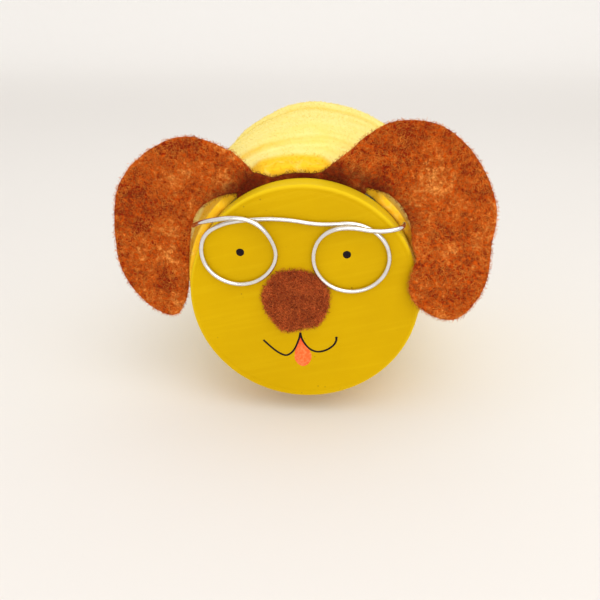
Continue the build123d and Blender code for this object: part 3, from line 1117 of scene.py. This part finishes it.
# The part of a piece between two depths, off the table, as its own object
def partOf(piece, name, fromDepth, toDepth, innerRadius):
    mesh = bmesh.new()
    mesh.from_mesh(piece.data)
    drop = []
    for face in mesh.faces:
        centre = face.calc_center_median()
        depth = (centre.y - faceY) / mm
        radius = math.hypot(centre.x - axisX, centre.z - axisZ) / mm
        outward = Vector((centre.x - axisX, 0, centre.z - axisZ)).normalized()
        inside = face.normal.dot(outward) < -0.1 and abs(face.normal.y) < 0.5
        if not fromDepth <= depth < toDepth or centre.z < 0.0012 or radius < innerRadius or inside:
            drop.append(face)
    bmesh.ops.delete(mesh, geom=drop, context="FACES")
    data = bpy.data.meshes.new(name)
    mesh.to_mesh(data)
    mesh.free()
    return newObject(name, data)


fleeceFibre = makeFibre("fleeceFibre", (0.95, 0.74, 0.14, 1), (0.97, 0.87, 0.36, 1), 0.3, shadedFront=True)
for name, cloth, first, last, look in (
    ("fleeceNap", fleece, 0.0, fibreLook["frontTo"], "fleece"),
    ("fleeceNapRest", fleece, fibreLook["frontTo"], 101.5, "fleeceRest"),
    ("fleeceEndNap", fleeceEnd, 98.6, 101.5, "fleeceEnd"),
):
    ground = partOf(cloth, name + "Ground", first, last, 0.0 if cloth == fleeceEnd else 37.6)
    dress(growFibres(name, ground, fibreLook[look], fleeceFibre), "container")
    bpy.data.objects.remove(ground)
print("nap made")

# the nose

noseShape = {
    "outline": [(-6.9, 9.1), (-0.7, 9.5), (3.7, 8.0), (6.8, 5.2), (8.0, 0.6), (7.1, -4.6), (4.3, -8.9),
                (-0.8, -10.4),
                (-6.5, -11.3), (-9.4, -8.6), (-12.0, -4.6), (-13.3, 0.8), (-11.4, 5.3), (-8.8, 8.3)],
    "height": 2.2,
    "rounding": 3.6,
    "spacing": 0.8,
    "rings": [0.12, 0.35, 0.7, 1.2, 1.9],
}
noseLoop = throughPoints(noseShape["outline"], 8, True)
noseMiddle = facePoint(*noseLoop.mean(0), 0.0)
nose = facePad("nosePad", noseLoop, noseShape["height"], noseShape["rounding"], noseShape["spacing"],
               noseShape["rings"],
               makeNoseFelt(noseMiddle, 0.0115), 0.1)
for v in nose.data.vertices:
    rise = (faceY - v.co.y) / mm
    if rise > 0.4:
        v.co.y += 0.35 * mm * wander(v.co.x * 260, v.co.z * 260, 51) + 0.12 * mm * wander(v.co.x * 900,
                v.co.z * 900, 52)
outwards(nose)
noseFibre = makeFibre("noseFibre", (0.15, 0.008, 0.003, 1), (0.95, 0.22, 0.05, 1), 0.2)
noseFibres = growFibres("nosePadFibres", nose, fibreLook["nose"], noseFibre)
dress(nose, "face")
dress(noseFibres, "face")
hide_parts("nose")
print("nose made")

# round wire and pen lines, both tubes along a path


def buildTubeTree():
    tree, given = newShapeTree("tubeAlongPath", {"Radius": "Float", "Sides": "Int"})
    path = put(tree, "GeometryNodeMeshToCurve", {"Mesh": given["Geometry"]})
    section = put(tree, "GeometryNodeCurvePrimitiveCircle",
                  {"Resolution": given["Sides"], "Radius": given["Radius"]})
    tube = put(tree, "GeometryNodeCurveToMesh",
               {"Curve": path.outputs[0], "Profile Curve": section.outputs[0], "Fill Caps": True})
    smooth = put(tree, "GeometryNodeSetShadeSmooth", {"Geometry": tube.outputs[0], "Shade Smooth": True})
    return closeTree(tree, given, smooth.outputs[0])


tubeTree = buildTubeTree()


def tubeAlong(name, line, radius, sides, material):
    mesh = bpy.data.meshes.new(name + "Path")
    mesh.from_pydata([tuple(p) for p in line], [(i, i + 1) for i in range(len(line) - 1)], [])
    values = {"Radius": radius * mm, "Sides": sides, "Finish": material}
    return outwards(applyTree(newObject(name, mesh), tubeTree, values))


# the wire glasses

wireShape = {
    "radius": 0.75,
    "sides": 18,
    "stepsPerCorner": 14,
    "near": -1.05,  # strand next to the face
    "far": -2.85,  # strand that crosses over it
    "between": -1.95,
    "lensSize": (12.0, 11.2),
    "leftLens": (-20.8, 16.2),
    "rightLens": (15.2, 14.6),
    "wobble": 0.10,
}


def wireRoute():
    shape = wireShape
    near, far, between = shape["near"], shape["far"], shape["between"]
    left, right = np.array(shape["leftLens"]), np.array(shape["rightLens"])
    reach = 1 / math.cos(math.radians(15))

    def temple(angle, beyond, depth):
        return (*atRim(angle, beyond), depth)

    def on(lens, across, up, depth):
        return (lens[0] + across, lens[1] + up, depth)

    def around(lens, first, last):
        return [on(lens, reach * shape["lensSize"][0] * math.cos(math.radians(a)),
                   reach * shape["lensSize"][1] * math.sin(math.radians(a)), near) for a in range(first,
                           last - 1, -30)]

    return [
        temple(148, 4.8, 5.0), temple(142, 3.4, 0.0),
        on(left, -7.0, 11.2, far), on(left, -1.0, 11.9, far), on(left, 5.2, 10.9, far), on(left, 9.8, 7.0,
                far),
        *around(left, 0, -210),
        on(left, -4.6, 9.4, near), on(left, 2.4, 10.6, near), on(left, 9.4, 11.2, near), on(left, 16.8,
                10.9, near),
        on(right, -12.2, 11.3, near), on(right, -6.2, 11.3, near), on(right, 0.2, 12.0, near),
        *around(right, 60, -180),
        on(right, -10.6, 6.6, between), on(right, -6.0, 10.4, far), on(right, 0.2, 11.0, far), on(right,
                6.6, 9.8, far),
        on(right, 12.4, 10.2, far),
        temple(39.5, 1.9, -1.2), temple(38.5, 2.1, 3.5),
    ]


# Rounds every corner with a curve that touches the middles of the runs beside it
def roundedPath(corners, steps):
    corners = [np.array(c, float) for c in corners]
    line = [corners[0]]
    for before, corner, after in zip(corners, corners[1:], corners[2:]):
        start, end = (before + corner) / 2, (corner + after) / 2
        line += [(1 - t) ** 2 * start + 2 * t * (1 - t) * corner + t * t * end
                 for t in np.linspace(0, 1, steps, endpoint=False)]
    return line + [(corners[-2] + corners[-1]) / 2, corners[-1]]


def buildWire():
    shape = wireShape
    line = roundedPath(wireRoute(), shape["stepsPerCorner"])
    line = [facePoint(x + shape["wobble"] * wander(k * 0.03, 1.0, 61),
                      z + shape["wobble"] * wander(k * 0.03, 5.0, 62), d)
            for k, (x, z, d) in enumerate(line)]
    return tubeAlong("glassesWire", line, shape["radius"], shape["sides"], makeWire())


glasses = dress(buildWire(), "spectacles")
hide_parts("glasses_wire")
print("glasses made")

# eyes, mouth and tongue, drawn on the face

drawing = {
    "eyes": [(-20.5, 15.6), (13.8, 15.6)],
    "eyeRadius": 1.37,
    "lineRadius": 0.42,
    "lineDepth": 0.24,
    "mouth": [
        [(-1.2, -12.8), (-1.7, -15.4), (-3.4, -19.5), (-5.8, -21.6), (-8.3, -20.9), (-11.0, -18.8),
         (-13.8, -16.0)],
        [(-1.2, -12.8), (-0.4, -15.7), (1.8, -18.7), (4.5, -19.9), (7.5, -19.2), (9.9, -17.4),
         (10.9, -15.6), (11.0, -14.3)],
    ],
    "dot": (11.0, -14.3, 0.5),
    "tongue": [(-1.1, -14.5), (-2.3, -17.3), (-3.1, -20.1), (-3.2, -22.9), (-2.0, -25.0), (-0.1, -25.8),
               (1.8, -24.6),
               (2.7, -22.0), (2.1, -19.6), (0.5, -17.2)],
}
inkMaterial = makeInk()


def spot(name, x, z, radius, seed):
    loop = [(x + radius * (1 + 0.05 * wander(math.cos(a) * 1.5, math.sin(a) * 1.5, seed)) * math.cos(a),
             z + radius * (1 + 0.05 * wander(math.cos(a) * 1.5, math.sin(a) * 1.5, seed)) * math.sin(a))
            for a in np.linspace(0, 2 * math.pi, 32, endpoint=False)]
    return facePad(name, np.array(loop), 0.16, 0.35, 0.35, [0.08, 0.2], inkMaterial, 0.1)


for side, (x, z) in zip(("left", "right"), drawing["eyes"]):
    dress(outwards(spot(side + "Eye", x, z, drawing["eyeRadius"], 71)), "face")
x, z, radius = drawing["dot"]
dress(outwards(spot("mouthDot", x, z, radius, 72)), "face")
for side, corners in zip(("left", "right"), drawing["mouth"]):
    line = [facePoint(x, z, drawing["lineDepth"] + 0.03 * wander(k * 0.21, 0.0, 73))
            for k, (x, z) in enumerate(throughPoints(corners, 10, False))]
    dress(tubeAlong(side + "Mouth", line, drawing["lineRadius"], 10, inkMaterial), "face")
tongueLoop = throughPoints(drawing["tongue"], 6, True)
tongueTop, tongueFoot = tongueLoop[:, 1].max(), tongueLoop[:, 1].min()
tongueMaterial = makeTonguePaint(axisZ + tongueTop * mm, (tongueTop - tongueFoot) * mm)
tongue = facePad("tongue", tongueLoop, 0.14, 0.5, 0.6, [0.12, 0.3], tongueMaterial, 0.08)
dress(outwards(tongue), "face")
print("face drawn")

# the jar keeps its CAD shape

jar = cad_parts["jar"]
jar.data.materials.clear()
jar.data.materials.append(makeJarPlastic())

# floor, light and camera

studio = {
    "floor": (0.82, 0.795, 0.77, 1),
    "wall": (0.95, 0.93, 0.91, 1),
    "world": (1.0, 0.985, 0.96, 1),
    "worldStrength": 0.92,
    "key": {"place": (0.35, -0.55, 0.85), "size": 0.7, "watts": 2.4, "colour": (1.0, 0.97, 0.93)},
    "fill": {"place": (0.15, -1.0, 0.22), "size": 0.6, "watts": 3.2, "colour": (0.96, 0.98, 1.0)},
    "top": {"place": (0.0, 0.1, 0.9), "size": 0.8, "watts": 0.6, "colour": (1.0, 0.99, 0.97)},
}


def buildFloor():
    material, tree, shader, place = newMaterial("paleFloor", 0.7, 0.2)
    cloud = noiseAt(tree, place, 5.0, 2.0)
    plain = studio["floor"]
    worn = tuple(c * 0.985 for c in plain[:3]) + (1,)
    back = ramp(tree, put(tree, "ShaderNodeSeparateXYZ", {0: place}).outputs["Y"], 0.5, 1.4)
    colour = mixColour(tree, back, mixColour(tree, cloud, plain, worn), studio["wall"])
    tree.links.new(colour, shader.inputs["Base Color"])
    # one sheet that curves up behind the toy
    profile = [(-5.0, 0.0), (1.1, 0.0)] + [(1.1 + 0.5 * math.sin(t), 0.5 - 0.5 * math.cos(t))
                                           for t in np.linspace(0, math.pi / 2, 14)[1:]] + [(1.6, 3.0)]
    points = [(x, y, z) for y, z in profile for x in (-6.0, 6.0)]
    faces = [[2 * i, 2 * i + 1, 2 * i + 3, 2 * i + 2] for i in range(len(profile) - 1)]
    floor = newPiece("studioFloor", points, faces, material)


def addLight(name, settings):
    data = bpy.data.lights.new(name, "AREA")
    data.energy = settings["watts"]
    data.size = settings["size"]
    data.color = settings["colour"]
    lamp = newObject(name, data)
    lamp.location = settings["place"]
    lamp.rotation_euler = (Vector((0, 0, 0.05)) - lamp.location).to_track_quat("-Z", "Y").to_euler()


def buildStudio():
    buildFloor()
    for name in ("key", "fill", "top"):
        addLight(name + "Light", studio[name])
    world = bpy.data.worlds.new("studioWorld")
    world.use_nodes = True
    background = world.node_tree.nodes["Background"]
    background.inputs["Color"].default_value = studio["world"]
    background.inputs["Strength"].default_value = studio["worldStrength"]
    bpy.context.scene.world = world
    bpy.context.scene.view_settings.view_transform = "Standard"


cameraSet = {"place": (14.13, -199.18, 90.40), "turn": (65.489, 0.256, 4.295), "lens": 39.94,
             "sensor": 36.0}


def buildCamera():
    data = bpy.data.cameras.new("camera")
    data.lens = cameraSet["lens"]
    data.sensor_width = cameraSet["sensor"]
    camera = newObject("camera", data)
    across, depth, up = cameraSet["place"]
    camera.location = (across * mm, faceY + depth * mm, axisZ + up * mm)
    camera.rotation_euler = Euler([math.radians(a) for a in cameraSet["turn"]], "XYZ")
    bpy.context.scene.camera = camera


buildStudio()
buildCamera()
print("studio made")
